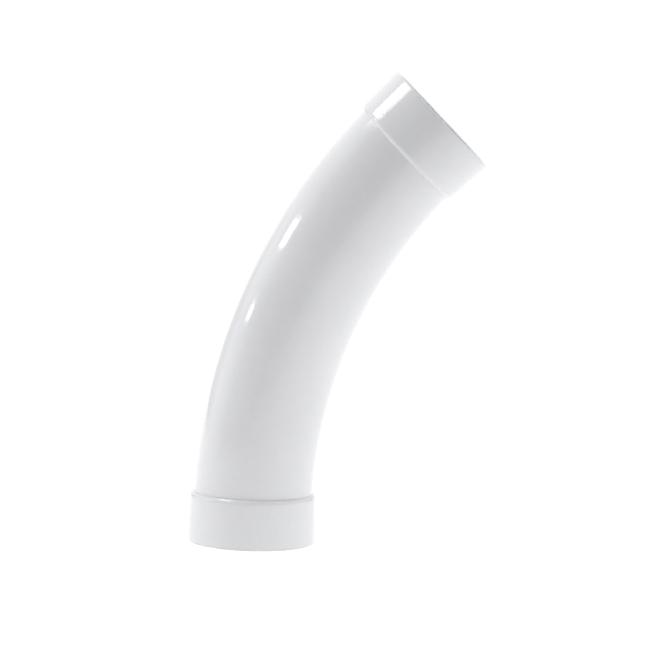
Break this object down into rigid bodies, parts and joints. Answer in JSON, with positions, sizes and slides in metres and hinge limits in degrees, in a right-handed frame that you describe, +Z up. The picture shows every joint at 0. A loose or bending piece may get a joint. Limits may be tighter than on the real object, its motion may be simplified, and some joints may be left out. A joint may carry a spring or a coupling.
{
  "type": "pvc conduit elbow",
  "caption": "Long-radius 45 degree sweep elbow in glossy white PVC, with a short plain socket collar on each end for joining straight duct.",
  "frame": {"origin": "centre of the lower collar's mouth, on the plane of its rim, which the elbow stands on", "axes": "+Z up along the lower socket's axis into the elbow; +X the way the bend leans; +Y square to the plane of the bend"},
  "size_m": [0.2659, 0.119, 0.4395],
  "materials": {
    "tube_pvc": "extruded white PVC-U, glossy, with faint drawn lines along the tube",
    "collar_pvc": "moulded white PVC-U, glossy, with slight mould waviness"
  },
  "bodies": {
    "root": {"bend_tube": "tube_pvc", "lower_socket_collar": "collar_pvc", "upper_socket_collar": "collar_pvc"}
  },
  "joints": []
}
